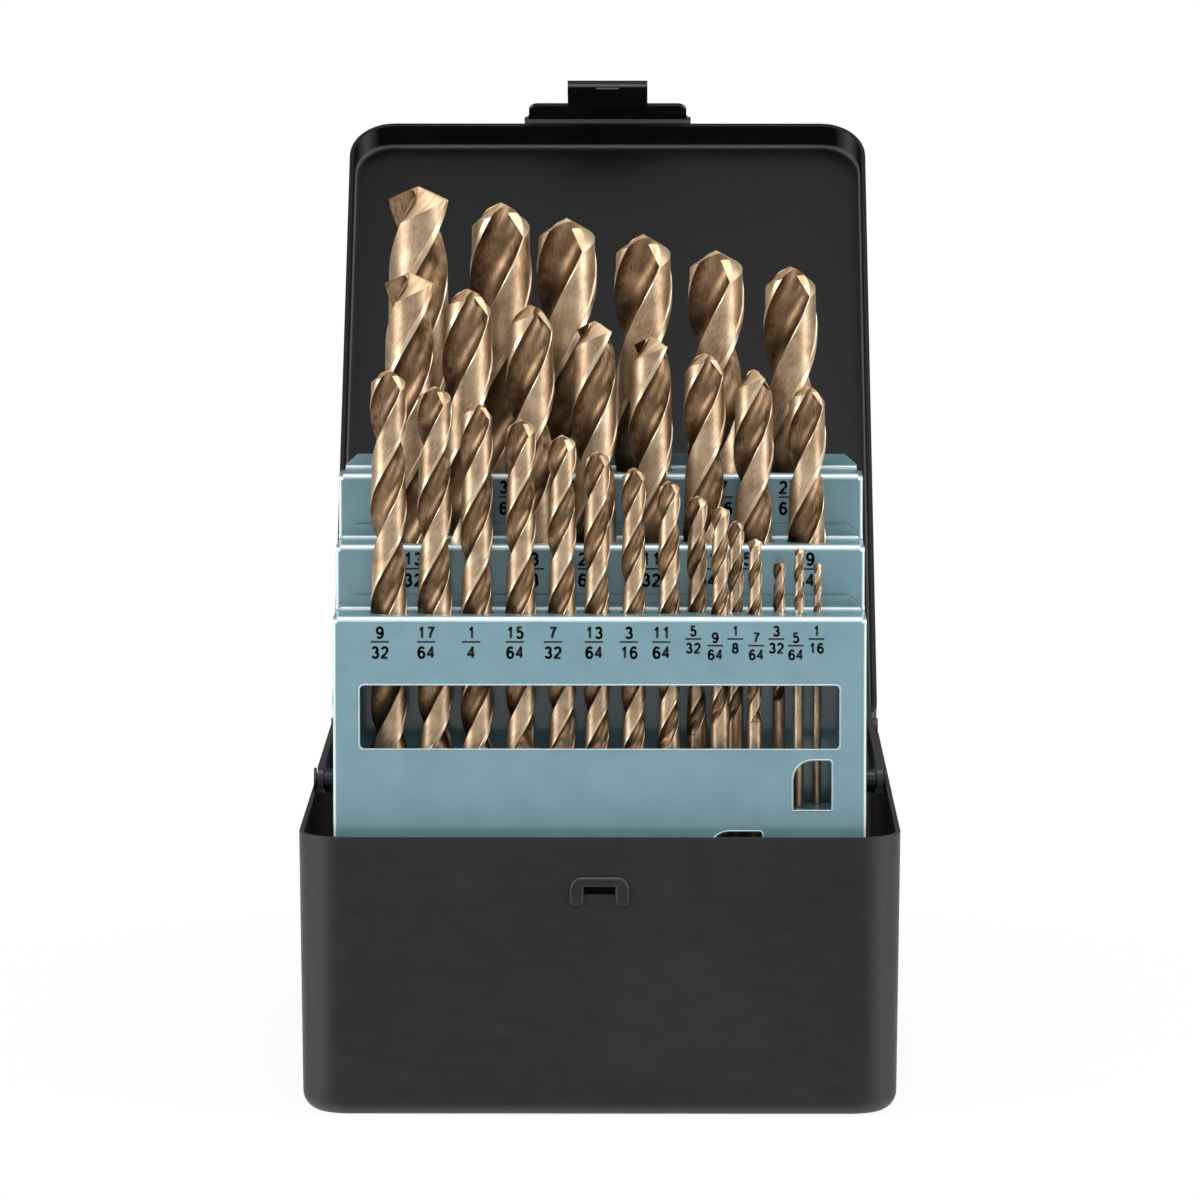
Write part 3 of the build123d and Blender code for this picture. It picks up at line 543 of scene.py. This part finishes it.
def twist_drill(name, flute_length, facing):
    """One drill in place of its faceted CAD form: the same axis, ends and size, ground smooth."""
    lead_in_diameters = 5.4
    point_slope = math.tan(math.radians(90 - 135 / 2))
    flank_fall = 0.8
    tip_sharpness = 6
    run_out_share = 2.0
    chamfer_height = 0.12
    chamfered = 0.88
    rings_a_turn = 44
    fewest_rings = 6
    sharp_angle = math.radians(30)
    low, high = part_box(name)
    length = high.z - low.z
    radius = (high.x - low.x) / 2
    axis = Vector(((low.x + high.x) / 2, (low.y + high.y) / 2, 0))
    lead = lead_in_diameters * 2 * radius
    flute_end = length - flute_length * mm
    run_out = run_out_share * radius
    shank_rings = [0.0, chamfer_height * radius, flute_end * 0.5, flute_end]
    steps = max(fewest_rings, int(rings_a_turn * flute_length * mm / lead))
    rings = shank_rings + [flute_end + flute_length * mm * (step + 1) / steps
                           for step in range(steps)]
    columns = len(full_section)
    verts = []
    wraps = []
    for index, ring in enumerate(rings):
        share = min(max((ring - flute_end) / run_out, 0.0), 1.0)
        depth = share * share * (3 - 2 * share)
        near_tip = max(0.0, (index - len(shank_rings)) / (steps - 1))
        for angle, reach, fall, _ in full_section:
            cut = 1.0 - (1.0 - reach) * depth
            if index == 0:
                cut *= chamfered
            tip = -cut * radius * (point_slope + flank_fall * fall)
            z = ring + tip * near_tip ** tip_sharpness
            twist = 2 * math.pi * (max(z, flute_end) - length) / lead
            turn = math.radians(angle + facing - 90) + twist
            verts.append(axis + Vector((math.cos(turn) * cut * radius,
                                        math.sin(turn) * cut * radius, low.z + z)))
            wraps.append((math.radians(angle) * radius / mm, ring / mm))
    faces = []
    kinds = []
    for index in range(len(rings) - 1):
        base = index * columns
        for column in range(columns):
            following = (column + 1) % columns
            faces.append((base + column, base + following,
                          base + columns + following, base + columns + column))
            kinds.append(full_section[column][3] if rings[index] >= flute_end else "land")
    # the flanks close the point, and the shank's end is flat
    last = (len(rings) - 1) * columns
    point = len(verts)
    shank_middle = point + 1
    verts += [axis + Vector((0, 0, low.z + length)), axis + Vector((0, 0, low.z))]
    wraps += [(0, length / mm), (0, 0)]
    for column in range(columns):
        following = (column + 1) % columns
        faces.append((last + column, last + following, point))
        kinds.append("point")
        faces.append((following, column, shank_middle))
        kinds.append("land")
    mesh = bpy.data.meshes.new(name + "_drill")
    mesh.from_pydata(verts, [], faces)
    layer = mesh.uv_layers.new(name="wrap")
    kind_order = list(drill_steels)
    for polygon, kind in zip(mesh.polygons, kinds):
        polygon.material_index = kind_order.index(kind)
        polygon.use_smooth = True
        # where a face closes the round, its far side's wrap goes back to before the start
        closes = any(mesh.loops[i].vertex_index % columns == 0 for i in polygon.loop_indices)
        for i in polygon.loop_indices:
            u, v = wraps[mesh.loops[i].vertex_index]
            if closes and u > math.pi * radius / mm:
                u -= 2 * math.pi * radius / mm
            layer.data[i].uv = (u, v)
    for material in drill_steels.values():
        mesh.materials.append(material)
    mesh.set_sharp_from_angle(angle=sharp_angle)
    made = bpy.data.objects.new(name + "_drill", mesh)
    bpy.context.collection.objects.link(made)
    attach(made, name)
    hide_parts(name)


for name, (flute_length, facing) in flutes.items():
    twist_drill(name, flute_length, facing)


# The studio: a wide white bench in a white surround, with soft light from above, from the front
# and from both sides.
def white_bench():
    """White paint under studio light: white to the eye, with a faint shadow round the case."""
    shadow_near = 80 * mm
    shadow_far = 220 * mm
    material, tree, shader = new_finish("white_bench")
    shader.inputs["Base Color"].default_value = linear("#e8e8e8")
    shader.inputs["Roughness"].default_value = 0.8
    path = add_node(tree, "ShaderNodeLightPath")
    seen = add_node(tree, "ShaderNodeMath",
                    {0: path.outputs["Is Camera Ray"], 1: path.outputs["Is Glossy Ray"]},
                    operation="MAXIMUM")
    shown = add_node(tree, "ShaderNodeMath",
                     {0: seen.outputs["Value"], 1: path.outputs["Is Transmission Ray"]},
                     operation="MAXIMUM")
    away = add_node(tree, "ShaderNodeVectorMath",
                    {0: add_node(tree, "ShaderNodeTexCoord").outputs["Object"]},
                    operation="LENGTH")
    clear = add_node(tree, "ShaderNodeMapRange",
                     {"Value": away.outputs["Value"], "From Min": shadow_near,
                      "From Max": shadow_far, "To Min": 0.93, "To Max": 1.0})
    share = add_node(tree, "ShaderNodeMath",
                     {0: shown.outputs["Value"], 1: clear.outputs["Result"]},
                     operation="MULTIPLY")
    white = add_node(tree, "ShaderNodeEmission", {"Color": linear("#ffffff"), "Strength": 1.0})
    mixed = add_node(tree, "ShaderNodeMixShader",
                     {0: share.outputs["Value"], 1: shader.outputs["BSDF"],
                      2: white.outputs["Emission"]})
    tree.links.new(mixed.outputs["Shader"], tree.nodes["Material Output"].inputs["Surface"])
    return material


bench_half = 1.5
bench_mesh = bpy.data.meshes.new("bench")
bench_mesh.from_pydata([(-bench_half, -bench_half, 0), (bench_half, -bench_half, 0),
                        (bench_half, bench_half, 0), (-bench_half, bench_half, 0)],
                       [], [(0, 1, 2, 3)])
bench_mesh.materials.append(white_bench())
bench = bpy.data.objects.new("bench", bench_mesh)
bpy.context.collection.objects.link(bench)

world = bpy.data.worlds.new("studio")
bpy.context.scene.world = world
world.use_nodes = True
sky = world.node_tree
sky_path = add_node(sky, "ShaderNodeLightPath")
direction = add_node(sky, "ShaderNodeTexCoord").outputs["Generated"]
split = add_node(sky, "ShaderNodeSeparateXYZ", {"Vector": direction})
sky_height = add_node(sky, "ShaderNodeMapRange",
                      {"Value": split.outputs["Z"], "From Min": -0.3, "From Max": 0.9})
glow = add_node(sky, "ShaderNodeValToRGB", {"Fac": sky_height.outputs["Result"]})
glow.color_ramp.elements[0].color = linear("#2c2c2e")
glow.color_ramp.elements[1].color = linear("#d8d8d8")
surround = add_node(sky, "ShaderNodeBackground", {"Color": linear("#ffffff"), "Strength": 1.0})
lit = add_node(sky, "ShaderNodeBackground", {"Color": glow.outputs["Color"], "Strength": 0.75})
sky_mix = add_node(sky, "ShaderNodeMixShader",
                   {0: sky_path.outputs["Is Camera Ray"], 1: lit.outputs["Background"],
                    2: surround.outputs["Background"]})
sky.links.new(sky_mix.outputs["Shader"], sky.nodes["World Output"].inputs["Surface"])


def soft_box(name, place, target, width, height, power):
    """A rectangular soft box that faces its target."""
    lamp = bpy.data.lights.new(name, "AREA")
    lamp.shape = "RECTANGLE"
    lamp.size = width
    lamp.size_y = height
    lamp.energy = power
    made = bpy.data.objects.new(name, lamp)
    made.location = place
    facing_target = (Vector(target) - Vector(place)).to_track_quat("-Z", "Y")
    made.rotation_euler = facing_target.to_euler()
    bpy.context.collection.objects.link(made)


rack_top = (0, 0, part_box("rear_tray")[1].z)
soft_box("top_box", (0.05, -0.15, 0.85), (0, 0, 0.05), width=0.7, height=0.5, power=5.0)
soft_box("front_box", (0.1, -1.5, 0.95), rack_top, width=0.8, height=0.4, power=5.0)
soft_box("left_box", (-0.75, -0.45, 0.35), rack_top, width=0.35, height=0.8, power=5.4)
soft_box("right_box", (0.8, -0.35, 0.4), rack_top, width=0.3, height=0.8, power=4.5)


# The camera: a long way in front of the case and a little above it, looking slightly down and
# turned to the case's middle.
look_down = math.radians(6)
look_left = math.radians(0.35)
camera_data = bpy.data.cameras.new("camera")
camera_data.lens = 252
camera_data.sensor_width = 36
camera_data.clip_end = 20
camera = bpy.data.objects.new("camera", camera_data)
camera.location = (0.010, -1.7058, 0.2716)
camera.rotation_euler = (math.radians(90) - look_down, 0, look_left)
bpy.context.collection.objects.link(camera)
bpy.context.scene.camera = camera
bpy.context.scene.view_settings.view_transform = "Standard"
